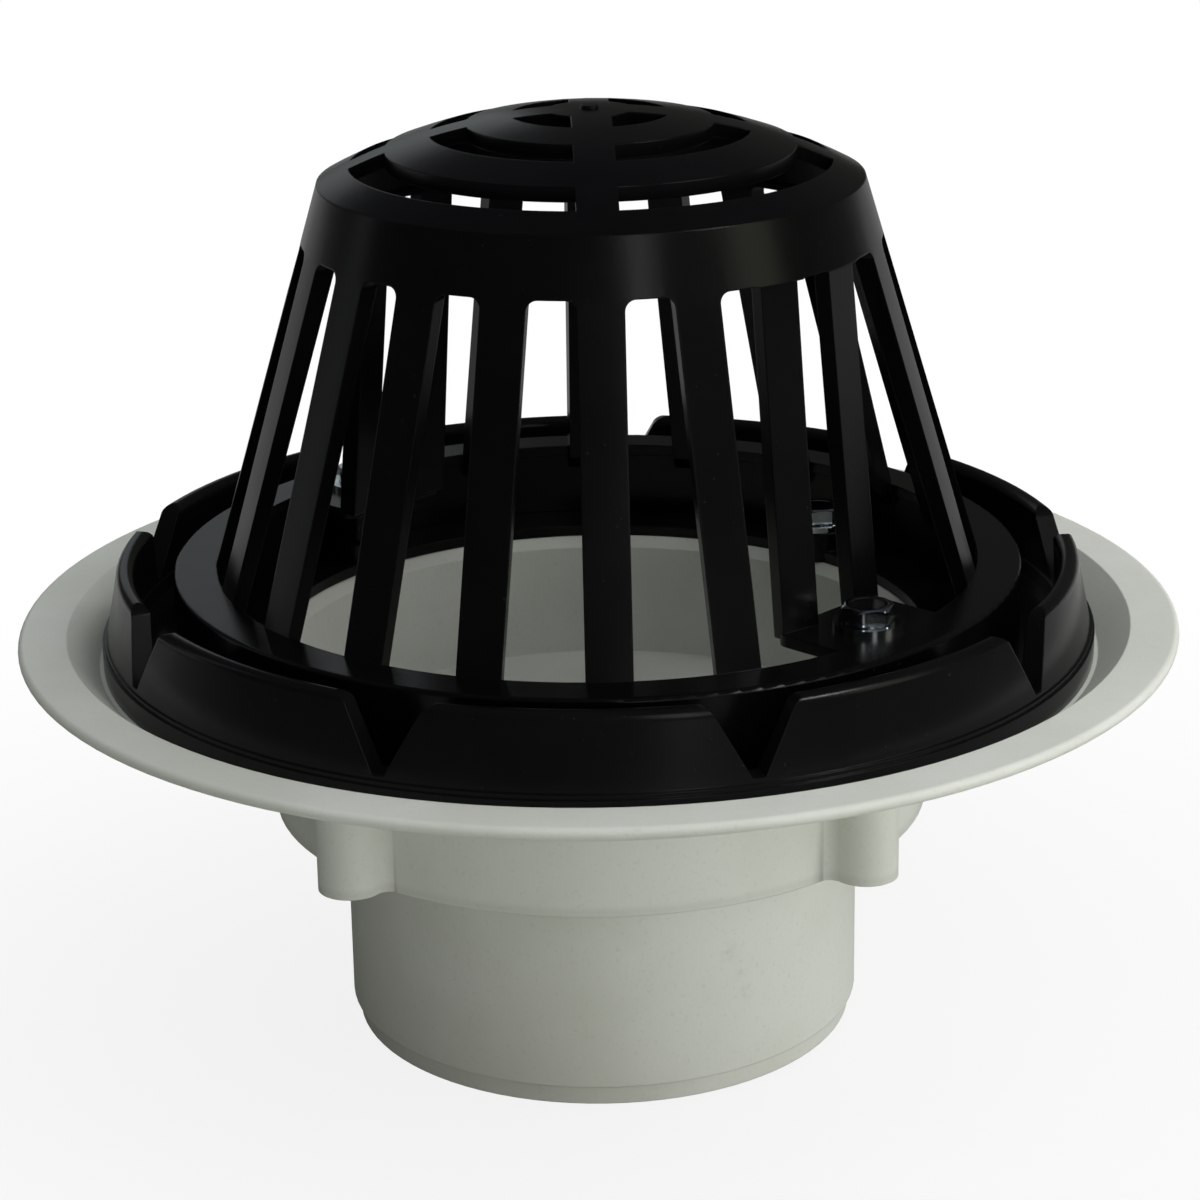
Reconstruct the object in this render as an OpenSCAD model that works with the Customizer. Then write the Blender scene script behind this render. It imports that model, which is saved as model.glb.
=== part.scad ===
// Flat roof drain: a moulded PVC body, a clamping ring with a gravel guard, and a dome strainer.
// Millimetres, +Z up. The origin is the centre of the hub's mouth, where the drain pipe enters.

/* [Hub] */
// Outside diameter of the pipe that enters the hub
pipe_od = 114.3; // [80:0.05:120]
// Wall thickness of the pipe, and width of the stop that it meets
pipe_wall = 6; // [3:0.5:8]
// Radial clearance between the pipe and its socket
pipe_clearance = 0.15; // [0.05:0.05:0.6]
// Depth of the pipe socket
socket_depth = 50.8; // [30:0.1:52]
// Wall thickness of the hub round the socket
hub_wall = 5.9; // [4:0.1:12]
// Length of the hub below the collar
hub_len = 56.5; // [52.5:0.5:90]
// How much the hub is reduced in radius at its mouth
hub_lip_step = 1.6; // [0.5:0.1:3]
// Height of the reduced mouth
hub_lip_h = 5; // [2:0.5:10]

/* [Sump] */
// Inside diameter of the sump at its floor
sump_d = 150; // [140:0.5:153]
// How much wider the sump is at its top
sump_draft = 2; // [0:0.5:4]
// Wall thickness of the collar round the sump
collar_wall = 4; // [3:0.5:8]
// Height of the collar below the dish
collar_h = 36.5; // [25:0.5:60]
// Thickness of the sump floor
sump_floor_t = 8; // [5:0.5:12]
// Width and depth of the bevelled rim between dish and sump
sump_rim = 2.4; // [1:0.1:3]

/* [Roof flange] */
// Diameter of the roof flange
flange_d = 279.4; // [270:0.1:400]
// Thickness of the roof flange
flange_t = 2.8; // [2:0.1:5]
// Width of the flat margin of the flange
flange_margin = 11.5; // [6:0.5:16]
// Depth of the dish below the margin
dish_drop = 7.5; // [4:0.5:12]
// Width of the sloping step from the margin to the dish
dish_slope_w = 7.4; // [3:0.1:7.9]
// Fillet between the dish and the collar outside
collar_fillet = 3; // [1:0.5:5]

/* [Bosses and inserts] */
// Diameter of the circle on which the four bolts stand
bolt_circle_d = 168; // [166:0.5:172]
// Diameter of each bolt boss
boss_d = 15.4; // [13:0.1:17]
// Radius of the fillets between each boss and the collar
boss_fillet = 3.5; // [1:0.5:5]
// Outside diameter of each threaded insert
insert_d = 9.5; // [8:0.1:11]
// Length of each threaded insert
insert_len = 14; // [8:0.5:16]
// Radial clearance round each insert
insert_clearance = 0.05; // [0.02:0.01:0.2]
// Depth of the relief hole below each insert
relief_depth = 14; // [12:0.5:16]

/* [Bolts and washers] */
// Diameter of the bolt shanks
bolt_d = 6.35; // [5:0.05:6.5]
// Width of the hexagon heads across the flats
head_af = 11.1; // [10:0.1:12]
// Height of the hexagon heads
head_h = 4.1; // [3:0.1:5]
// Length of the two bolts that hold the dome
dome_bolt_len = 38; // [34:0.5:46]
// Length of the two bolts that hold only the ring
ring_bolt_len = 25; // [18:0.5:30]
// Outside diameter of the washers
washer_d = 16; // [14:0.5:17]
// Thickness of the washers
washer_t = 1.4; // [1:0.1:2]
// Radial clearance of the holes that a bolt passes through
bolt_clearance = 0.45; // [0.2:0.05:0.8]
// Radial clearance between bolt and insert
thread_clearance = 0.05; // [0.02:0.01:0.2]

/* [Clamping ring] */
// Outside diameter of the clamping ring
ring_d = 239.6; // [230:0.1:240]
// Inside diameter of the clamping ring
ring_bore_d = 158; // [150:0.5:160]
// Thickness of the ring plate
plate_t = 2.8; // [2:0.1:4]
// Width of the thin lip round the plate
plate_lip_w = 1.1; // [0.5:0.1:2]
// Height of the pads that the bolts bear on, above the plate
pad_h = 5; // [3:0.5:8]
// Diameter of the pads
pad_d = 16.4; // [16:0.1:17]

/* [Gravel guard] */
// Height of the rim that the guard stands on, above the ring plate
rim_h = 3.8; // [1:0.1:6]
// Height of the guard above the ring plate
guard_h = 20.8; // [16:0.1:30]
// Thickness of the guard at its foot
guard_foot_t = 5.4; // [4:0.1:6]
// Thickness of the guard at its top
guard_top_t = 4.6; // [3:0.1:5]
// How far the guard leans inwards over its height
guard_lean = 3; // [2:0.5:7]
// Number of guard segments
guard_segments = 9; // [6:1:12]
// Width of each notch at its top
notch_top_w = 20; // [10:0.5:26]
// Width of each notch at its bottom
notch_foot_w = 2.8; // [1:0.1:6]
// Height of the notches' feet above the rim
notch_sill = 1; // [0.5:0.1:3]
// Radius of the top corners of each segment
guard_corner_r = 6; // [2:0.5:7]

/* [Dome base ring] */
// Outside diameter of the base ring
base_d = 204; // [200:0.5:206]
// Width of the flat top of the base ring
base_w = 10.5; // [9:0.5:12]
// Height of the base ring above the ring plate
base_h = 18.7; // [14:0.1:24]
// Thickness of the flat top and of the lugs
base_web_t = 2.8; // [2:0.1:4]
// Thickness of the two skirts under the flat top
skirt_t = 2.5; // [2:0.1:3]
// How far the inner skirt stands back from the inner edge, clear of the washers
skirt_inset = 1.2; // [1.2:0.1:2]
// Rounding of the outer top edge
base_edge_r = 0.9; // [0.3:0.1:1.5]

/* [Dome cage] */
// Height of the cage from the base ring to the crease
cage_h = 92; // [70:0.5:130]
// Outside diameter of the cage at the crease
crease_d = 128; // [120:0.2:140]
// Number of slats
slat_count = 20; // [16:2:24]
// Width of a slat across its outer face
slat_w = 10.4; // [9:0.1:12]
// Depth of a slat at its foot, measured along the radius
slat_foot_depth = 4; // [3:0.1:6]
// Depth of a slat at its top, measured along the radius
slat_top_depth = 4.9; // [4.7:0.1:9]
// Angle at which each side of the lug slats closes in towards the inside
slat_relief = 9; // [0:0.5:12]
// Height of the closed band under the crease
band_h = 13.4; // [8:0.1:24]
// Thickness of the closed band
band_t = 4; // [3:0.1:4.4]
// Radius of the top corners of each slot
slot_corner_r = 2.6; // [1.5:0.1:4]
// How far a slat runs down inside the base ring
slat_tail = 6; // [4:0.5:8]

/* [Dome cap] */
// Rise of the cap above the crease
cap_rise = 16; // [10:0.5:25]
// Thickness of the cap
cap_t = 3.2; // [2.5:0.1:5]
// Width of the four spokes of the cap
spoke_w = 9.4; // [7:0.1:14]
// Inner radius of the innermost ring of slots
cap_slot_r = 10; // [8:0.5:12]
// Width of each ring of slots
cap_slot_w = 8.4; // [6:0.1:10]
// Spacing from one ring of slots to the next
cap_slot_pitch = 19; // [17:0.5:20]
// Number of rings of slots
cap_slot_rings = 3; // [1:1:3]
// Diameter of the moulding gate on the cap
gate_d = 4.2; // [3:0.1:6]
// Height of the moulding gate
gate_h = 0.6; // [0.3:0.1:1]

/* [Dome lugs] */
// Outer radius of the lug slats at their foot
lug_slat_r = 75.2; // [74:0.1:75.2]
// How far the lug slats stand in from the band at their top
lug_slat_inset = 0.8; // [0.6:0.1:1.5]
// Depth of the lug slats, measured along the radius
lug_slat_depth = 4.2; // [3.5:0.1:5.5]
// How far the lug slats run into the band above them and the lugs below them
lug_slat_grip = 1.4; // [1:0.1:1.5]
// How far the lugs' edges stand out beyond the feet of their slats
lug_ledge = 0.5; // [0.3:0.1:2]
// Radius of the inner corners of each lug
lug_corner_r = 4; // [2:0.5:5]
// Outside diameter of the tube under each lug
lug_tube_d = 12; // [11:0.1:14]

/* [Hidden] */
$fn = 128;

plastic_pale = [0.80, 0.79, 0.74];
plastic_black = [0.06, 0.06, 0.065];
zinc = [0.70, 0.73, 0.76];
brass = [0.78, 0.62, 0.30];

// A small overlap that makes cuts run clear of a face, and joins run into one
over = 0.5;

// Heights, upwards from the hub's mouth
collar_z = hub_len;
sump_floor_z = collar_z + sump_floor_t;
dish_under_z = collar_z + collar_h;
dish_z = dish_under_z + flange_t;
flange_z = dish_z + dish_drop;
plate_z = dish_z + plate_t;
rim_z = plate_z + rim_h;
pad_z = plate_z + pad_h;
base_z = plate_z + base_h;
crease_z = base_z + cage_h;
band_z = crease_z - band_h;
apex_z = crease_z + cap_rise;

// Radii of the body
socket_r = pipe_od / 2 + pipe_clearance;
hub_r = socket_r + hub_wall;
waterway_r = pipe_od / 2 - pipe_wall;
sump_r = sump_d / 2;
sump_top_r = sump_r + sump_draft / 2;
collar_r = sump_top_r + collar_wall;
flange_r = flange_d / 2;
margin_r = flange_r - flange_margin;
dish_r = margin_r - dish_slope_w;

// Bolts: the dome bolts and the ring bolts alternate round the circle
bolt_r = bolt_circle_d / 2;
bolt_angles = [-45, 45, 135, 225];
dome_bolt_angles = [-45, 135];
ring_bolt_angles = [45, 225];
bolt_hole_r = bolt_d / 2 + bolt_clearance;
insert_hole_r = insert_d / 2 + insert_clearance;
dome_washer_z = base_z;
ring_washer_z = pad_z;

// Radii of the clamping ring and its guard
ring_r = ring_d / 2;
ring_bore_r = ring_bore_d / 2;
rim_r = ring_r - plate_lip_w / 2;
guard_foot_r = ring_r - plate_lip_w;
rim_in_r = guard_foot_r - guard_foot_t - plate_lip_w / 2;
guard_top_z = plate_z + guard_h;
guard_bead_r = guard_top_t / 2;
guard_top_r = guard_foot_r - guard_lean;

// Radii of the dome
base_r = base_d / 2;
base_in_r = base_r - base_w;
skirt_in_r = base_in_r + skirt_inset;
crease_r = crease_d / 2;
cage_foot_r = base_in_r + 0.4;
cage_slope = (cage_foot_r - crease_r) / cage_h;
inner_slope = cage_slope + (slat_top_depth - slat_foot_depth) / (cage_h - band_h);
slat_pitch = 360 / slat_count;
cap_sphere_r = (crease_r * crease_r + cap_rise * cap_rise) / (2 * cap_rise);
cap_centre_z = apex_z - cap_sphere_r;

// Outer radius of the cage at height z
function cage_r(z) = cage_foot_r - (z - base_z) * cage_slope;
// Radius of the slats' inner faces at height z
function slat_inner_r(z) = cage_foot_r - slat_foot_depth - (z - base_z) * inner_slope;
// Half the width of the slot between two slats at height z
function slot_half_w(z) = cage_r(z) * sin(slat_pitch / 2) - slat_w / 2;

// One child at each angle of a list, at the bolt circle
module at_bolts(angles) {
  for (a = angles) rotate([0, 0, a]) translate([bolt_r, 0, 0]) children();
}

// Extrudes a shape drawn in width and height outwards along the radius at angle a
module along_radius(a, r0, r1) {
  rotate([0, 0, a]) translate([r0, 0, 0]) rotate([90, 0, 90])
    linear_extrude(height = r1 - r0) children();
}

// A solid of revolution: a cone or cylinder between two heights
module frustum(z0, z1, r0, r1) {
  translate([0, 0, z0]) cylinder(h = z1 - z0, r1 = r0, r2 = r1);
}

// ---------------------------------------------------------------- body

// Half section of the body's wall
module body_section() {
  difference() {
    union() {
      polygon([
        [waterway_r, sump_floor_z],
        [waterway_r, socket_depth],
        [socket_r, socket_depth],
        [socket_r, 1.5],
        [socket_r + 1.5, 0],
        [hub_r - hub_lip_step, 0],
        [hub_r - hub_lip_step, hub_lip_h],
        [hub_r, hub_lip_h],
        [hub_r, collar_z],
        [collar_r, collar_z],
        [collar_r, dish_under_z],
        [dish_r + flange_t / 3, dish_under_z],
        [margin_r + flange_t / 3, flange_z - flange_t],
        [flange_r - flange_t / 2, flange_z - flange_t],
        [flange_r - flange_t / 2, flange_z],
        [margin_r, flange_z],
        [dish_r, dish_z],
        [sump_top_r + sump_rim, dish_z],
        [sump_top_r, dish_z - sump_rim],
        [sump_r, sump_floor_z],
      ]);
      // rounded rim of the flange
      translate([flange_r - flange_t / 2, flange_z - flange_t / 2]) circle(d = flange_t, $fn = 48);
      // stock for the fillet between the collar and the dish
      translate([collar_r - over, dish_under_z - collar_fillet])
        square([collar_fillet + over, collar_fillet + over]);
    }
    translate([collar_r + collar_fillet, dish_under_z - collar_fillet])
      circle(r = collar_fillet, $fn = 48);
  }
}

// Outline of a boss centred on the bolt circle, with a fillet on each side that runs into the collar
module boss_outline() {
  boss_r = boss_d / 2;
  // the fillets cross the boss and the collar a little inside their faces
  reach = boss_fillet - 0.12;
  x = (pow(collar_r + reach, 2) + pow(bolt_r, 2) - pow(boss_r + reach, 2)) / (2 * bolt_r);
  y = sqrt(pow(collar_r + reach, 2) - x * x);
  collar_share = (collar_r - 0.3) / (collar_r + reach);
  boss_share = (boss_r - 0.3) / (boss_r + reach);
  translate([bolt_r, 0]) circle(r = boss_r, $fn = 64);
  for (s = [-1, 1]) difference() {
    polygon([
      [collar_r - 1, 0],
      [bolt_r + (x - bolt_r) * boss_share, s * y * boss_share],
      [x, s * y],
      [x * collar_share, s * y * collar_share],
    ]);
    translate([x, s * y]) circle(r = boss_fillet, $fn = 48);
  }
}

// The moulded body: hub, sump, collar, dish and roof flange, with four bolt bosses
module drain_body() {
  color(plastic_pale)
  difference() {
    union() {
      rotate_extrude() body_section();
      difference() {
        for (a = bolt_angles) rotate([0, 0, a]) translate([0, 0, collar_z])
          linear_extrude(height = collar_h + flange_t / 2) boss_outline();
        frustum(collar_z - over, dish_z + over, sump_r + over, sump_top_r + over);
      }
    }
    at_bolts(bolt_angles) {
      translate([0, 0, dish_z - insert_len]) cylinder(h = insert_len + over, r = insert_hole_r);
      translate([0, 0, dish_z - insert_len - relief_depth])
        cylinder(h = relief_depth + over, r = bolt_hole_r);
    }
  }
}

// ---------------------------------------------------------------- clamping ring

// Half section of the leaning guard with its rounded top
module guard_section() {
  bead_z = guard_top_z - guard_bead_r;
  polygon([
    [guard_foot_r - guard_foot_t, rim_z - over],
    [guard_foot_r, rim_z - over],
    [guard_foot_r, rim_z],
    [guard_top_r, bead_z],
    [guard_top_r - guard_top_t, bead_z],
    [guard_foot_r - guard_foot_t, rim_z],
  ]);
  translate([guard_top_r - guard_bead_r, bead_z]) circle(r = guard_bead_r, $fn = 48);
}

// Outline of a notch: a V with a narrow foot, widened at its mouth to round the segments' corners
module notch_outline() {
  foot_z = rim_z + notch_sill;
  side = atan2((notch_top_w - notch_foot_w) / 2, guard_top_z - foot_z);
  tangent = guard_corner_r * tan((90 - side) / 2);
  // the corner arcs end a little above the guard's top, so that they cross it and don't just touch it
  arc_z = guard_top_z - guard_corner_r + 0.2;
  polygon([
    [-notch_foot_w / 2, foot_z],
    [notch_foot_w / 2, foot_z],
    [notch_top_w / 2, guard_top_z],
    [notch_top_w / 2, guard_top_z + over],
    [-notch_top_w / 2, guard_top_z + over],
    [-notch_top_w / 2, guard_top_z],
  ]);
  for (s = [-1, 1]) difference() {
    polygon([
      [s * (notch_top_w / 2 - over), guard_top_z + over],
      [s * (notch_top_w / 2 - over), guard_top_z - over],
      [s * (notch_top_w / 2 - tangent * sin(side)), guard_top_z - tangent * cos(side)],
      [s * (notch_top_w / 2 + tangent), arc_z],
      [s * (notch_top_w / 2 + tangent), guard_top_z + over],
    ]);
    translate([s * (notch_top_w / 2 + tangent), arc_z]) circle(r = guard_corner_r, $fn = 48);
  }
}

// The ring that clamps the roofing to the dish, with the segmented gravel guard round it
module clamping_ring() {
  notch_pitch = 360 / guard_segments;
  color(plastic_black)
  difference() {
    union() {
      rotate_extrude() polygon([
        [ring_bore_r, dish_z],
        [ring_r, dish_z],
        [ring_r, rim_z - plate_lip_w],
        [rim_r, rim_z - plate_lip_w],
        [rim_r, rim_z],
        [rim_in_r, rim_z],
        [rim_in_r, plate_z],
        [ring_bore_r, plate_z],
      ]);
      difference() {
        rotate_extrude() guard_section();
        for (k = [0 : guard_segments - 1])
          along_radius(ring_bolt_angles[0] + k * notch_pitch, rim_in_r - 10, ring_r + 5)
            notch_outline();
      }
      at_bolts(bolt_angles) translate([0, 0, dish_z]) cylinder(h = plate_t + pad_h, d = pad_d);
    }
    at_bolts(bolt_angles) translate([0, 0, dish_z - over])
      cylinder(h = plate_t + pad_h + 2 * over, r = bolt_hole_r);
  }
}

// ---------------------------------------------------------------- dome strainer

// Outline of a slot: straight sides that close in upwards, with rounded top corners
module slot_outline() {
  shoulder_z = band_z - slot_corner_r;
  shoulder = slot_half_w(shoulder_z);
  foot_z = base_z - slat_tail - over;
  polygon([
    [-slot_half_w(foot_z), foot_z],
    [slot_half_w(foot_z), foot_z],
    [shoulder, shoulder_z],
    [shoulder - slot_corner_r, band_z],
    [slot_corner_r - shoulder, band_z],
    [-shoulder, shoulder_z],
  ]);
  for (s = [-1, 1]) translate([s * (shoulder - slot_corner_r), shoulder_z])
    circle(r = slot_corner_r, $fn = 32);
}

// A straight lug slat that leans inwards; its outer face passes through the radius r0 at the
// base ring's top and r1 at the band's lower edge, and it narrows towards the inside
module lug_slat(a, r0, r1) {
  lean = atan2(r0 - r1, band_z - base_z);
  inner_w = slat_w - 2 * lug_slat_depth * tan(slat_relief);
  rotate([0, 0, a]) translate([r0, 0, base_z]) rotate([0, -lean, 0]) translate([0, 0, -lug_slat_grip])
    linear_extrude(height = (band_z - base_z) / cos(lean) + 2 * lug_slat_grip)
      polygon([
        [0, -slat_w / 2],
        [0, slat_w / 2],
        [-lug_slat_depth, inner_w / 2],
        [-lug_slat_depth, -inner_w / 2],
      ]);
}

// The outer form of the cage and the cap: a cone cut off by a sphere, turned so that the
// sphere's poles stay clear of the cap
module dome_outside() {
  tail_z = base_z - slat_tail;
  intersection() {
    frustum(tail_z, apex_z + over, cage_r(tail_z), cage_r(apex_z + over));
    translate([0, 0, cap_centre_z]) rotate([90, 0, 0]) sphere(r = cap_sphere_r);
  }
}

// The hollow inside: the slats grow a little deeper upwards, to a step behind the closed band
module dome_inside() {
  tail_z = base_z - slat_tail - over;
  step_z = band_z + 1.5;
  top_z = apex_z + over;
  frustum(tail_z, step_z + over, slat_inner_r(tail_z), slat_inner_r(step_z + over));
  intersection() {
    frustum(step_z, top_z, cage_r(step_z) - band_t, cage_r(top_z) - band_t);
    translate([0, 0, cap_centre_z]) rotate([90, 0, 0]) sphere(r = cap_sphere_r - cap_t);
  }
}

// Three rings of arc slots in the cap, between four spokes
module cap_slots() {
  difference() {
    for (k = [0 : cap_slot_rings - 1]) difference() {
      slot_r = cap_slot_r + k * cap_slot_pitch;
      frustum(crease_z - 20, apex_z + 20, slot_r + cap_slot_w, slot_r + cap_slot_w);
      frustum(crease_z - 21, apex_z + 21, slot_r, slot_r);
    }
    for (a = [0, 90]) rotate([0, 0, a]) translate([-crease_r, -spoke_w / 2, crease_z - 25])
      cube([crease_d, spoke_w, cap_rise + 50]);
  }
}

// The tapering cage and its domed cap
module cage() {
  tail_z = base_z - slat_tail;
  clear_z = band_z - 0.3;
  difference() {
    dome_outside();
    dome_inside();
    cap_slots();
    // the slats' feet are cut away under the ring's edge
    frustum(tail_z - over, base_z + 1, base_in_r + over, base_in_r - slat_foot_depth - 2);
    for (k = [0 : slat_count - 1])
      along_radius(dome_bolt_angles[0] + k * slat_pitch, crease_r / 2, base_r) slot_outline();
    // the two slats beside each lug stand further in, so their places are cleared here
    for (a = dome_bolt_angles) rotate([0, 0, a]) translate([0, 0, tail_z - over])
      linear_extrude(height = clear_z - tail_z + over)
        polygon([[0, 0], [base_r, -base_r * tan(slat_pitch)], [base_r, base_r * tan(slat_pitch)]]);
  }
  translate([0, 0, apex_z - cap_t - gate_h]) cylinder(h = cap_t + 2 * gate_h, d = gate_d, $fn = 48);
}

// The base ring: a flat top with a skirt at each edge
module base_ring() {
  rotate_extrude() {
    polygon([
      [base_in_r, base_z - base_web_t],
      [skirt_in_r, base_z - base_web_t],
      [skirt_in_r, plate_z],
      [skirt_in_r + skirt_t, plate_z],
      [skirt_in_r + skirt_t, base_z - base_web_t],
      [base_r - skirt_t, base_z - base_web_t],
      [base_r - skirt_t, plate_z],
      [base_r, plate_z],
      [base_r, base_z - base_edge_r],
      [base_r - base_edge_r, base_z],
      [base_in_r, base_z],
    ]);
    translate([base_r - base_edge_r, base_z - base_edge_r]) circle(r = base_edge_r, $fn = 32);
  }
}

// A lug with its tube and the two upright slats that stand on its inner edge
module lug(a) {
  half_w = lug_slat_r * sin(slat_pitch / 2) + slat_w / 2 + lug_ledge / 2;
  inner_r = lug_slat_r - lug_slat_depth - lug_ledge;
  web_z = base_z - base_web_t;
  rotate([0, 0, a]) {
    translate([inner_r + lug_corner_r, -half_w, web_z])
      cube([base_in_r + skirt_t / 2 - inner_r - lug_corner_r, 2 * half_w, base_web_t]);
    translate([inner_r, lug_corner_r - half_w, web_z])
      cube([lug_corner_r + over, 2 * (half_w - lug_corner_r), base_web_t]);
    for (s = [-1, 1]) translate([inner_r + lug_corner_r, s * (half_w - lug_corner_r), web_z])
      cylinder(h = base_web_t, r = lug_corner_r, $fn = 32);
    translate([bolt_r, 0, pad_z]) cylinder(h = web_z - pad_z + over, d = lug_tube_d);
  }
  for (s = [-1, 1])
    lug_slat(a + s * slat_pitch / 2, lug_slat_r, cage_r(band_z) - lug_slat_inset);
}

// The dome strainer, moulded in one piece
module dome_strainer() {
  color(plastic_black)
  difference() {
    union() {
      base_ring();
      cage();
      for (a = dome_bolt_angles) lug(a);
    }
    at_bolts(dome_bolt_angles) translate([0, 0, pad_z - over])
      cylinder(h = base_z - pad_z + 2 * over, r = bolt_hole_r);
  }
}

// ---------------------------------------------------------------- fasteners

// A hexagon head bolt whose head rests at z = 0
module hex_bolt(len) {
  head_r = head_af / 2 / cos(30);
  intersection() {
    cylinder(h = head_h, r = head_r, $fn = 6);
    cylinder(h = head_h, r1 = head_r + head_h, r2 = head_af / 2);
  }
  translate([0, 0, 0.6 - len]) cylinder(h = len - 0.6 + over, d = bolt_d);
  translate([0, 0, -len]) cylinder(h = 0.6, d1 = bolt_d - 1.2, d2 = bolt_d);
}

// The two long bolts that hold the dome down through its lugs
module dome_bolts() {
  color(zinc)
  at_bolts(dome_bolt_angles) translate([0, 0, dome_washer_z + washer_t]) hex_bolt(dome_bolt_len);
}

// The two short bolts that hold the clamping ring
module ring_bolts() {
  color(zinc)
  at_bolts(ring_bolt_angles) translate([0, 0, ring_washer_z + washer_t]) hex_bolt(ring_bolt_len);
}

// One flat washer
module washer() {
  difference() {
    cylinder(h = washer_t, d = washer_d);
    translate([0, 0, -over]) cylinder(h = washer_t + 2 * over, r = bolt_hole_r);
  }
}

// The four flat washers, one under each bolt head
module washers() {
  color(zinc) {
    at_bolts(dome_bolt_angles) translate([0, 0, dome_washer_z]) washer();
    at_bolts(ring_bolt_angles) translate([0, 0, ring_washer_z]) washer();
  }
}

// The four threaded inserts in the bosses
module thread_inserts() {
  color(brass) at_bolts(bolt_angles) translate([0, 0, dish_z - insert_len]) difference() {
    cylinder(h = insert_len, d = insert_d);
    translate([0, 0, -over]) cylinder(h = insert_len + 2 * over, r = bolt_d / 2 + thread_clearance);
  }
}

drain_body();
clamping_ring();
dome_strainer();
dome_bolts();
ring_bolts();
washers();
thread_inserts();
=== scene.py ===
import math

import bmesh
import bpy
from mathutils import Matrix, Vector


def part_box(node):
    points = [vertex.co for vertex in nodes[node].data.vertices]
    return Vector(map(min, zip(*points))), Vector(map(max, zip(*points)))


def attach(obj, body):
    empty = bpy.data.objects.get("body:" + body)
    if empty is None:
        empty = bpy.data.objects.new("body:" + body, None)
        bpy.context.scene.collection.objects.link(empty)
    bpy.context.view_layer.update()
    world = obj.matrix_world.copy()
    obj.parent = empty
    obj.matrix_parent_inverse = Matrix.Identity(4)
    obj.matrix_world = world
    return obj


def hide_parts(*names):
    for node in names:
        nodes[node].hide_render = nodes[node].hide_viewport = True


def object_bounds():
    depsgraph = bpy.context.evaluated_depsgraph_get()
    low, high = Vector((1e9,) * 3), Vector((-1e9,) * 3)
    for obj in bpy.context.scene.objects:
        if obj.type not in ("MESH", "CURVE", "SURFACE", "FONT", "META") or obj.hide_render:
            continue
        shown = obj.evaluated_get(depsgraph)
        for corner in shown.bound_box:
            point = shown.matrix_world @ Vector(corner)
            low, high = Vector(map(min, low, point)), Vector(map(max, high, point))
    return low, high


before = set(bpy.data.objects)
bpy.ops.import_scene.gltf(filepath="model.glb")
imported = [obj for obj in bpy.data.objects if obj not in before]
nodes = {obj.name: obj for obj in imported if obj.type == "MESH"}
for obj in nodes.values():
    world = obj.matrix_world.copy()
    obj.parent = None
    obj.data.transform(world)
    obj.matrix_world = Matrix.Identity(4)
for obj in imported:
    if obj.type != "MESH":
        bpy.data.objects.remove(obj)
cad_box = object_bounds()

MM = 0.001
flange_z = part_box("drain_body")[1][2]


def grey(v, tint=(1, 1, 1)):
    """A grey in linear light, with a tint."""
    return (v * tint[0], v * tint[1], v * tint[2], 1.0)


def islands(obj):
    """Lowest and highest corner of each separate solid of a node."""
    bm = bmesh.new()
    bm.from_mesh(obj.data)
    bmesh.ops.remove_doubles(bm, verts=bm.verts, dist=1e-6)
    seen, out = set(), []
    for v in bm.verts:
        if v in seen:
            continue
        stack, group = [v], []
        seen.add(v)
        while stack:
            w = stack.pop()
            group.append(w.co.copy())
            for e in w.link_edges:
                o = e.other_vert(w)
                if o not in seen:
                    seen.add(o)
                    stack.append(o)
        lo = Vector([min(c[i] for c in group) for i in range(3)])
        hi = Vector([max(c[i] for c in group) for i in range(3)])
        out.append((lo, hi))
    bm.free()
    return out


# ------------------------------------------------------------------ node helpers

class Nodes:
    """Short names for building a node tree."""

    def __init__(self, tree):
        self.nt = tree
        self.nt.nodes.clear()

    def add(self, kind, **props):
        n = self.nt.nodes.new(kind)
        for k, v in props.items():
            setattr(n, k, v)
        return n

    def link(self, a, b):
        self.nt.links.new(a, b)

    def put(self, socket, value):
        """Link an output to the socket, or write a plain value on it."""
        if hasattr(value, "is_output"):
            self.link(value, socket)
        else:
            socket.default_value = value

    def math(self, op, a, b=0.0):
        n = self.add("ShaderNodeMath", operation=op)
        self.put(n.inputs[0], a)
        self.put(n.inputs[1], b)
        return n.outputs[0]

    def ramp(self, fac, lo, hi, a=0.0, b=1.0, kind="SMOOTHSTEP"):
        """a at lo and b at hi, held beyond them, with a blend between."""
        n = self.add("ShaderNodeMapRange", interpolation_type=kind)
        self.put(n.inputs["Value"], fac)
        n.inputs["From Min"].default_value = lo
        n.inputs["From Max"].default_value = hi
        n.inputs["To Min"].default_value = a
        n.inputs["To Max"].default_value = b
        return n.outputs[0]

    def mix(self, fac, a, b):
        n = self.add("ShaderNodeMix", data_type="RGBA")
        self.put(n.inputs[0], fac)
        self.put(n.inputs[6], a)
        self.put(n.inputs[7], b)
        return n.outputs[2]

    def mix_shader(self, fac, a, b):
        n = self.add("ShaderNodeMixShader")
        self.link(fac, n.inputs[0])
        self.link(a.outputs[0], n.inputs[1])
        self.link(b.outputs[0], n.inputs[2])
        return n.outputs[0]


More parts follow.
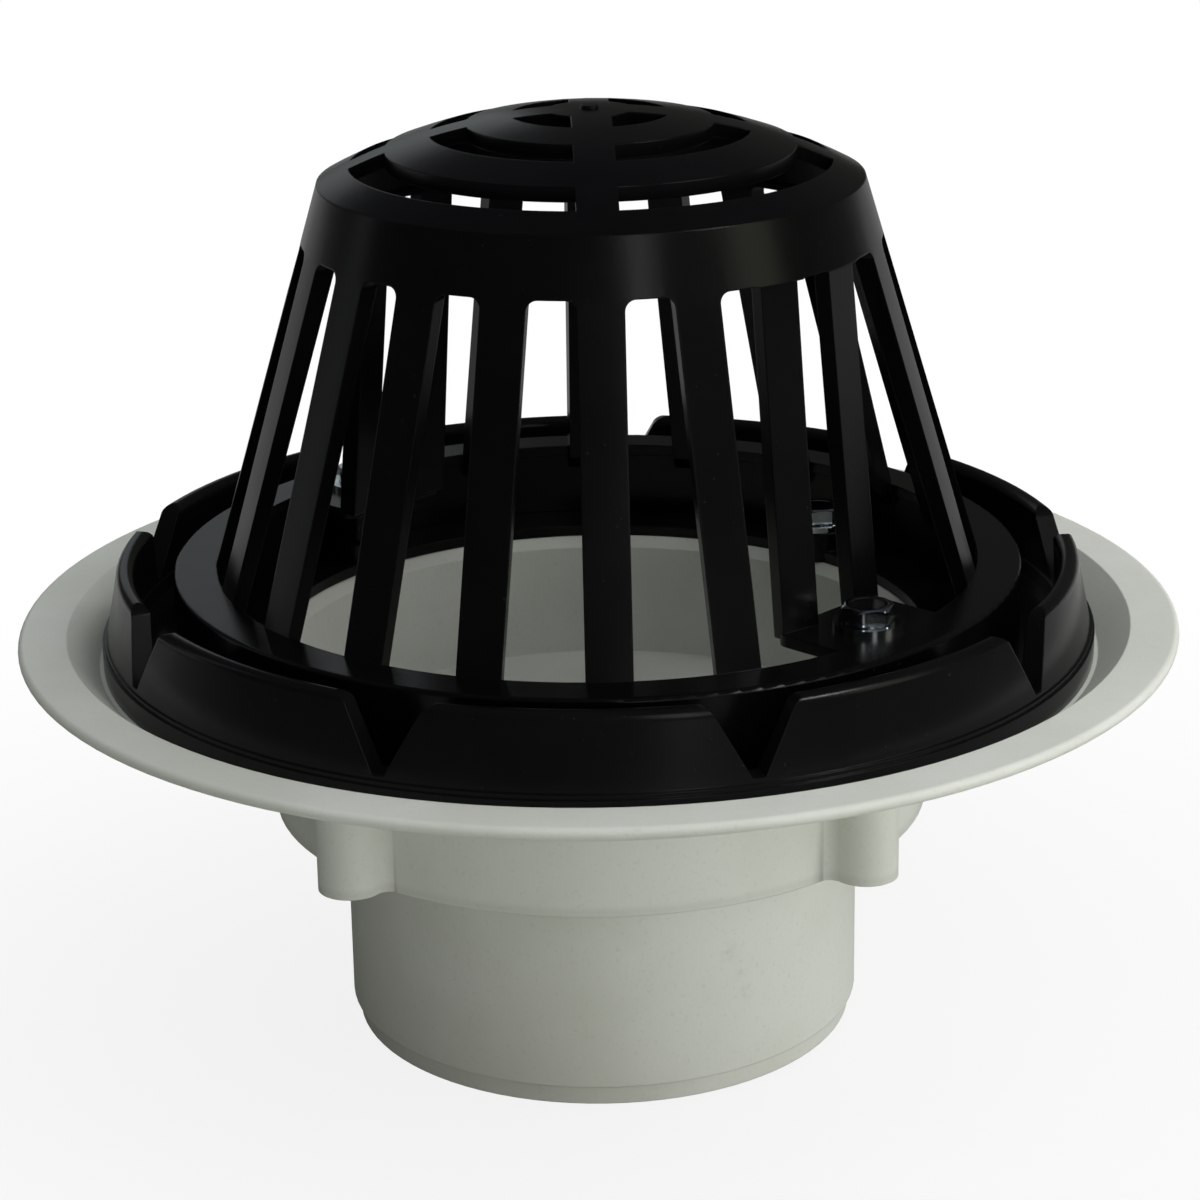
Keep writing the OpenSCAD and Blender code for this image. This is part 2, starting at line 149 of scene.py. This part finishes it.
class Mat(Nodes):
    """A material with one Principled shader."""

    def __init__(self, name):
        self.mat = bpy.data.materials.new(name)
        self.mat.use_nodes = True
        super().__init__(self.mat.node_tree)
        self.out = self.add("ShaderNodeOutputMaterial")
        self.bsdf = self.add("ShaderNodeBsdfPrincipled")
        self.link(self.bsdf.outputs[0], self.out.inputs[0])
        self.geo = self.add("ShaderNodeTexCoord").outputs["Object"]

    def noise(self, scale, detail, rough):
        n = self.add("ShaderNodeTexNoise")
        n.inputs["Scale"].default_value = scale
        n.inputs["Detail"].default_value = detail
        n.inputs["Roughness"].default_value = rough
        n.inputs["Distortion"].default_value = 0.0
        self.link(self.geo, n.inputs["Vector"])
        return n.outputs["Fac"]

    def xyz(self):
        n = self.add("ShaderNodeSeparateXYZ")
        self.link(self.geo, n.inputs[0])
        return n.outputs

    def radius(self):
        """Distance from the vertical axis."""
        x, y, _ = self.xyz()
        squares = [self.math("MULTIPLY", v, v) for v in (x, y)]
        return self.math("SQRT", self.math("ADD", *squares))

    def near(self, point, size):
        """1 at a point, falling to 0 at the given distance."""
        n = self.add("ShaderNodeVectorMath", operation="DISTANCE")
        self.link(self.geo, n.inputs[0])
        n.inputs[1].default_value = point
        return self.ramp(n.outputs["Value"], 0.0, size, 1.0, 0.0)

    def bump(self, height, distance, strength, edge=0.0):
        """Relief from a height; edge is the radius that rounds sharp edges in the shading."""
        b = self.add("ShaderNodeBump")
        b.inputs["Strength"].default_value = strength
        b.inputs["Distance"].default_value = distance
        self.link(height, b.inputs["Height"])
        if edge:
            v = self.add("ShaderNodeBevel", samples=6)
            v.inputs["Radius"].default_value = edge
            self.link(v.outputs[0], b.inputs["Normal"])
        self.link(b.outputs[0], self.bsdf.inputs["Normal"])

    def set(self, **values):
        for k, v in values.items():
            self.put(self.bsdf.inputs[k.replace("_", " ")], v)


def give(obj, mat):
    """Put one material on every slot of an object."""
    if not obj.data.materials:
        obj.data.materials.append(mat)
    for i in range(len(obj.data.materials)):
        obj.data.materials[i] = mat


# ------------------------------------------------------------------ materials, lengths in metres

SOFT_EDGE = 0.0005
PLASTIC_IOR = 1.5

PVC_DARK = grey(0.66, (1.0, 1.02, 0.925))
PVC_LIGHT = grey(0.71, (1.0, 1.02, 0.955))
PVC_SPECK = grey(0.40, (1.0, 1.0, 0.84))
SPECK_SHARE = 0.16

HUB_R = 63.2 * MM
SMUDGE = grey(0.30, (1.0, 0.99, 0.9))
SMUDGE_SHARE = 0.20
# azimuth in degrees, height and size of each faint smudge on the front of the hub
SMUDGES = ((-63.4, 0.036, 0.0044), (-60.6, 0.031, 0.0030), (-59.4, 0.0245, 0.0034))

# colour, share and heights of a faint darker band where the collar meets the hub
SEAM_DARK = grey(0.34, (1.0, 0.99, 0.9))
SEAM_SHARE = 0.35
SEAM_LOW, SEAM_MID, SEAM_HIGH = 0.0555, 0.0575, 0.0595

BLACK_SPECULAR = 0.22


def pale_pvc():
    m = Mat("pale_moulded_pvc")
    cloud = m.noise(22.0, 4.0, 0.55)
    speck = m.noise(900.0, 2.0, 0.6)
    fine = m.noise(2600.0, 2.0, 0.5)
    base = m.mix(m.ramp(cloud, 0.35, 0.65), PVC_DARK, PVC_LIGHT)
    base = m.mix(m.math("MULTIPLY", m.ramp(speck, 0.58, 0.72), SPECK_SHARE), base, PVC_SPECK)
    for azimuth, height, size in SMUDGES:
        a = math.radians(azimuth)
        spot = m.near((HUB_R * math.cos(a), HUB_R * math.sin(a), height), size)
        patch = m.math("MULTIPLY", spot, m.ramp(m.noise(420.0, 3.0, 0.6), 0.35, 0.65))
        base = m.mix(m.math("MULTIPLY", patch, SMUDGE_SHARE), base, SMUDGE)
    # a faint darker band where the collar meets the hub, clouded by the noise
    z = m.xyz()[2]
    seam = m.math("MULTIPLY", m.ramp(z, SEAM_LOW, SEAM_MID), m.ramp(z, SEAM_HIGH, SEAM_MID))
    share = m.math("MULTIPLY", seam, m.math("MULTIPLY", cloud, SEAM_SHARE))
    base = m.mix(share, base, SEAM_DARK)
    rough = m.math("ADD", 0.42, m.math("MULTIPLY", cloud, 0.12))
    height = m.math("ADD", m.math("MULTIPLY", fine, 0.35), m.noise(420.0, 3.0, 0.55))
    m.bump(height, 0.00008, 0.6, edge=SOFT_EDGE)
    m.set(Base_Color=base, Roughness=rough, IOR=PLASTIC_IOR)
    return m.mat


def black_plastic(name, level, rough, tint):
    m = Mat(name)
    haze = m.noise(30.0, 4.0, 0.6)
    fine = m.noise(1500.0, 2.0, 0.5)
    dust = m.noise(700.0, 2.0, 0.7)
    base = m.mix(m.ramp(haze, 0.35, 0.7), grey(level, tint), grey(level * 1.5, tint))
    base = m.mix(m.math("MULTIPLY", m.ramp(dust, 0.70, 0.78), 0.03), base, grey(0.35))
    height = m.math("ADD", m.math("MULTIPLY", fine, 0.3), m.noise(160.0, 3.0, 0.5))
    m.bump(height, 0.00005, 0.5, edge=SOFT_EDGE)
    m.set(Base_Color=base, Roughness=m.math("ADD", rough, m.math("MULTIPLY", haze, 0.10)))
    m.set(IOR=PLASTIC_IOR, Specular_IOR_Level=BLACK_SPECULAR)
    return m.mat


def metal(name, scales, dark, light, rough, spread, strength):
    """A clouded metal: scales of the clouds and of the grain, colours, roughness and relief."""
    m = Mat(name)
    cloud = m.noise(scales[0], 3.0, 0.6)
    fine = m.noise(scales[1], 2.0, 0.6)
    base = m.mix(m.ramp(cloud, 0.3, 0.7), dark, light)
    m.set(Base_Color=base, Metallic=1.0)
    m.set(Roughness=m.math("ADD", rough, m.math("MULTIPLY", cloud, spread)))
    m.bump(fine, 0.00003, strength)
    return m.mat


pvc = pale_pvc()
ring_black = black_plastic("black_plastic_ring", 0.0028, 0.17, (1.0, 1.0, 1.03))
dome_black = black_plastic("black_plastic_dome", 0.0018, 0.20, (1.0, 1.0, 1.02))
steel = metal("zinc_plated_steel", (260.0, 3000.0), grey(0.50, (0.93, 1.0, 1.07)),
              grey(0.72, (0.96, 1.0, 1.03)), 0.05, 0.12, 0.6)
brass = metal("brass", (300.0, 2500.0), (0.62, 0.42, 0.16, 1), (0.76, 0.56, 0.25, 1), 0.24, 0.16, 0.5)

give(nodes["drain_body"], pvc)
give(nodes["clamping_ring"], ring_black)
give(nodes["dome_strainer"], dome_black)
give(nodes["washers"], steel)
give(nodes["thread_inserts"], brass)


# ------------------------------------------------------------------ bolts, lengths in metres

HEAD_POINTS, SHANK_POINTS = 96, 24
# reach of the head's rounded corners and radius of its flat top, as shares of half its flats
CORNER_SHARE, TOP_SHARE = 1.135, 0.94
CHAMFER = math.radians(30)
# twenty threads to the inch, below a plain neck
PITCH, NECK, NECK_SHARE = 0.00127, 0.004, 0.985
STEPS_PER_TURN = 6
THREAD_DEPTH, CREST_CUT = 0.00058, 0.00004
TIP_LENGTH, TIP_CUT = 0.0011, 0.0006
SHARP = math.radians(26)


def hex_bolt(name, lo, hi, head_h, head_af, shank_d, turn):
    """A bolt with a chamfered, dished hexagon head and a rolled thread, inside the CAD bolt's box."""
    cx, cy = (lo[0] + hi[0]) / 2, (lo[1] + hi[1]) / 2
    tip, top_z = lo[2], hi[2]
    seat_z = top_z - head_h
    neck_z = seat_z - NECK
    af = head_af / 2
    top_r = af * TOP_SHARE
    shank_r = shank_d / 2
    n, m = HEAD_POINTS, SHANK_POINTS
    verts, faces = [], []

    def ring(radius, z, count):
        """Add a ring of points; the radius and the height are numbers or functions of the angle."""
        start = len(verts)
        for i in range(count):
            a = 2 * math.pi * i / count
            r = radius(a) if callable(radius) else radius
            height = z(a) if callable(z) else z
            verts.append((cx + r * math.cos(a + turn), cy + r * math.sin(a + turn), height))
        return start

    def skin(a, b, count):
        for i in range(count):
            j = (i + 1) % count
            faces.append((a + i, a + j, b + j, b + i))

    def hexagon(a):
        """Radius of the hexagon, its corners rounded a little."""
        k = (a + math.pi / 6) % (math.pi / 3) - math.pi / 6
        return min(af / math.cos(k), af * CORNER_SHARE)

    def rim_z(a):
        """Height of the chamfer, which meets the flats in arcs."""
        return top_z - (hexagon(a) - top_r) * math.tan(CHAMFER)

    # the head, from its seat up the flats, over the chamfer and into the shallow dish
    head = [
        ring(af * 0.93, seat_z, n),
        ring(af * 0.95, seat_z + 0.00022, n),
        ring(lambda a: hexagon(a) - 0.00012, seat_z + 0.00024, n),
        ring(hexagon, seat_z + 0.0004, n),
        ring(hexagon, lambda a: rim_z(a) - 0.0001, n),
        ring(lambda a: hexagon(a) - 0.0001, lambda a: rim_z(a) + 0.00002, n),
        ring(top_r, top_z - 0.00002, n),
        ring(top_r - 0.00015, top_z, n),
        ring(top_r * 0.80, top_z - 0.00002, n),
        ring(top_r * 0.74, top_z - 0.00018, n),
    ]
    for lower, upper in zip(head, head[1:]):
        skin(lower, upper, n)
    under, dish = head[0], head[-1]
    verts.append((cx, cy, top_z - 0.0002))
    for i in range(n):
        faces.append((dish + i, dish + (i + 1) % n, len(verts) - 1))

    # the plain neck, and the seat face that joins it to the head
    first = ring(shank_r * NECK_SHARE, seat_z, m)
    prev = ring(shank_r * NECK_SHARE, neck_z + 0.0003, m)
    skin(prev, first, m)
    for i in range(n):
        j = (i + 1) % n
        faces.append((under + j, under + i, first + (i * m // n)))
    for i in range(m):
        k = ((i + 1) * n) // m % n
        faces.append((first + i, first + (i + 1) % m, under + k))

    # the helical thread, tapered at its tip
    steps = int((neck_z - tip) / PITCH * STEPS_PER_TURN)
    for s in range(steps + 1):
        z = neck_z - (neck_z - tip) * s / steps
        taper = max(0.0, 1 - (z - tip) / TIP_LENGTH) * TIP_CUT

        def thread(a, z=z, taper=taper):
            phase = ((z / PITCH) - a / (2 * math.pi)) % 1.0
            depth = abs(phase - 0.5) * 2
            groove = THREAD_DEPTH * min(1.0, max(0.0, depth * 1.25 - 0.1))
            return shank_r - CREST_CUT - groove - taper

        cur = ring(thread, z, m)
        skin(cur, prev, m)
        prev = cur
    verts.append((cx, cy, tip))
    for i in range(m):
        faces.append((prev + (i + 1) % m, prev + i, len(verts) - 1))

    me = bpy.data.meshes.new(name)
    me.from_pydata(verts, [], faces)
    me.update()
    bm = bmesh.new()
    bm.from_mesh(me)
    bmesh.ops.recalc_face_normals(bm, faces=bm.faces)
    bm.to_mesh(me)
    bm.free()
    for p in me.polygons:
        p.use_smooth = True
    me.set_sharp_from_angle(angle=SHARP)
    obj = bpy.data.objects.new(name, me)
    bpy.context.collection.objects.link(obj)
    give(obj, steel)
    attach(obj, "root")
    return obj


HEAD_H, HEAD_AF, SHANK_D = 4.1 * MM, 11.1 * MM, 6.35 * MM
# turn of each head in degrees, from left to right
turns = {"dome_bolts": (8, -20), "ring_bolts": (15, 37)}
for node in ("dome_bolts", "ring_bolts"):
    for k, (lo, hi) in enumerate(sorted(islands(nodes[node]), key=lambda b: b[0][0])):
        bolt = hex_bolt("%s_%d" % (node[:-1], k + 1), lo, hi, HEAD_H, HEAD_AF, SHANK_D,
                        math.radians(turns[node][k]))
        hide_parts(node)


# ------------------------------------------------------------------ floor

FLOOR_R, FLOOR_DROP = 14.0, 0.0005
FLOOR_COLOUR = grey(0.60, (1.0, 1.02, 0.94))
WHITE = (1, 1, 1, 1)
# share of white that the camera sees on the floor: under the object, and away from it. The lower
# share near the object is painted shade, a faint grey around it on top of its real shadow
FLOOR_NEAR, FLOOR_FAR = 0.86, 1.0
FADE_START, FADE_END = 0.05, 0.40
# strength of the floor in glossy and transmission rays, and what is added behind the object.
# This is dim, and not the white of 1 that the camera sees.
MIRRORED, MIRRORED_BEHIND = 0.10, 0.3
BEHIND_START, BEHIND_END = 0.20, 0.36


def make_floor():
    bm = bmesh.new()
    bmesh.ops.create_circle(bm, cap_ends=True, segments=96, radius=FLOOR_R)
    me = bpy.data.meshes.new("floor")
    bm.to_mesh(me)
    bm.free()
    floor = bpy.data.objects.new("floor", me)
    floor.location = (0, 0, cad_box[0][2] - FLOOR_DROP)
    bpy.context.collection.objects.link(floor)
    m = Mat("pale_floor")
    m.set(Base_Color=FLOOR_COLOUR, Roughness=0.9)
    paths = m.add("ShaderNodeLightPath")
    camera = paths.outputs["Is Camera Ray"]
    bounced = m.math("MAXIMUM", paths.outputs["Is Glossy Ray"], paths.outputs["Is Transmission Ray"])
    # the camera sees white away from the object. Near it less white is mixed in, which is painted
    # shade around the object, and the floor's own shading adds a soft real shadow under it
    white = m.ramp(m.radius(), FADE_START, FADE_END, FLOOR_NEAR, FLOOR_FAR)
    seen = m.math("MAXIMUM", m.math("MULTIPLY", camera, white), bounced)
    behind = m.ramp(m.xyz()[1], BEHIND_START, BEHIND_END)
    mirrored = m.math("ADD", MIRRORED, m.math("MULTIPLY", behind, MIRRORED_BEHIND))
    glow = m.add("ShaderNodeEmission")
    glow.inputs[0].default_value = WHITE
    m.link(m.math("MAXIMUM", camera, mirrored), glow.inputs[1])
    m.link(m.mix_shader(seen, m.bsdf, glow), m.out.inputs[0])
    floor.data.materials.append(m.mat)


make_floor()


# ------------------------------------------------------------------ camera

target = Vector((0, 0, flange_z))
VIEW_AZ, VIEW_EL, VIEW_DIST, VIEW_ROLL = -91.4, 19.06, 0.796, -0.95
IMAGE = 1200
SENSOR, LENS = 36.0, 97.98
SHIFT_X, SHIFT_Y = 2.0 / IMAGE, 5.2 / IMAGE


def direction(az, el):
    """Unit vector at an azimuth and an elevation in degrees."""
    a, e = math.radians(az), math.radians(el)
    return Vector((math.cos(e) * math.cos(a), math.cos(e) * math.sin(a), math.sin(e)))


def facing(d):
    """Turn that points an object's -Z against a direction, its Y upwards."""
    return (-d).to_track_quat("-Z", "Y").to_matrix().to_4x4()


cam_data = bpy.data.cameras.new("camera")
cam_data.sensor_width = SENSOR
cam_data.lens = LENS
cam_data.shift_x = SHIFT_X
cam_data.shift_y = SHIFT_Y
cam_data.clip_start = 0.01
cam = bpy.data.objects.new("camera", cam_data)
toward = direction(VIEW_AZ, VIEW_EL)
roll = Matrix.Rotation(math.radians(VIEW_ROLL), 4, "Z")
cam.matrix_world = Matrix.Translation(target + toward * VIEW_DIST) @ facing(toward) @ roll
bpy.context.collection.objects.link(cam)
bpy.context.scene.camera = cam


# ------------------------------------------------------------------ light

def softbox(name, az, el, dist, width, height, radiance, tint, glossy=True, diffuse=True):
    """An area lamp at an azimuth from the camera's and an elevation, facing the object."""
    data = bpy.data.lights.new(name, "AREA")
    data.shape = "RECTANGLE"
    data.size = width
    data.size_y = height
    data.energy = radiance * math.pi * width * height
    data.color = tint
    lamp = bpy.data.objects.new(name, data)
    d = direction(VIEW_AZ + az, el)
    lamp.matrix_world = Matrix.Translation(target + d * dist) @ facing(d)
    lamp.visible_camera = False
    lamp.visible_glossy = glossy
    lamp.visible_diffuse = diffuse
    bpy.context.collection.objects.link(lamp)


# the lamps that light matt surfaces and are not seen in gloss
softbox("key", 68, 10, 1.6, 1.9, 1.0, 2.65, (1.0, 1.0, 0.985), glossy=False)
softbox("high", 70, 56, 1.6, 1.1, 1.1, 2.3, (1.0, 1.0, 0.99), glossy=False)
softbox("front", 5, 8, 1.6, 0.8, 0.6, 2.0, (1.0, 1.0, 0.96), glossy=False)
softbox("top", 10, 74, 1.5, 1.0, 1.0, 1.4, (0.97, 1.0, 1.0), glossy=False)
softbox("left_high", -75, 52, 1.6, 0.9, 0.9, 0.9, (0.93, 0.97, 1.0), glossy=False)
softbox("back", 140, 34, 1.6, 1.2, 1.0, 2.4, (0.97, 1.0, 1.0), glossy=False)
# the lamps that are seen in gloss and light no matt surface
softbox("narrow", 18.5, 24, 1.7, 0.28, 1.2, 2.1, (0.97, 0.99, 1.0), diffuse=False)
softbox("narrow_2", 66, 24, 1.7, 0.58, 1.1, 1.0, (1.0, 0.99, 0.82), diffuse=False)
softbox("window", 58, 42, 1.5, 0.26, 0.26, 16.0, (0.97, 0.99, 1.0), diffuse=False)
softbox("left_window", -104, 20, 1.6, 0.2, 1.2, 0.4, (0.90, 0.95, 1.0), diffuse=False)
softbox("back_glow", -163, 17, 1.6, 0.7, 0.5, 0.38, (0.88, 0.95, 1.0), diffuse=False)


# ------------------------------------------------------------------ world

SKY_LOW, SKY_HIGH = (1.0, 1.03, 0.88, 1), (0.90, 0.96, 1.12, 1)
# strength of the sky in diffuse rays, and in glossy rays above the horizon. The camera and
# transmission rays see white, and glossy rays see it only below the horizon.
SKY_STRENGTH = 0.05


def make_world():
    world = bpy.data.worlds.new("studio")
    world.use_nodes = True
    w = Nodes(world.node_tree)
    split = w.add("ShaderNodeSeparateXYZ")
    w.link(w.add("ShaderNodeTexCoord").outputs["Generated"], split.inputs[0])
    up = split.outputs[2]
    sky = w.add("ShaderNodeBackground")
    w.put(sky.inputs[0], w.mix(w.ramp(up, 0.2, 0.7, kind="LINEAR"), SKY_LOW, SKY_HIGH))
    sky.inputs[1].default_value = SKY_STRENGTH
    white = w.add("ShaderNodeBackground")
    white.inputs[0].default_value = WHITE
    white.inputs[1].default_value = 1.0
    paths = w.add("ShaderNodeLightPath")
    below = w.ramp(up, -0.08, 0.0, 1.0, 0.0, kind="LINEAR")
    glossy = w.math("MULTIPLY", paths.outputs["Is Glossy Ray"], below)
    straight = w.math("MAXIMUM", paths.outputs["Is Camera Ray"], paths.outputs["Is Transmission Ray"])
    seen = w.math("MAXIMUM", straight, glossy)
    out = w.add("ShaderNodeOutputWorld")
    w.link(w.mix_shader(seen, sky, white), out.inputs[0])
    bpy.context.scene.world = world


make_world()
bpy.context.scene.view_settings.view_transform = "Standard"
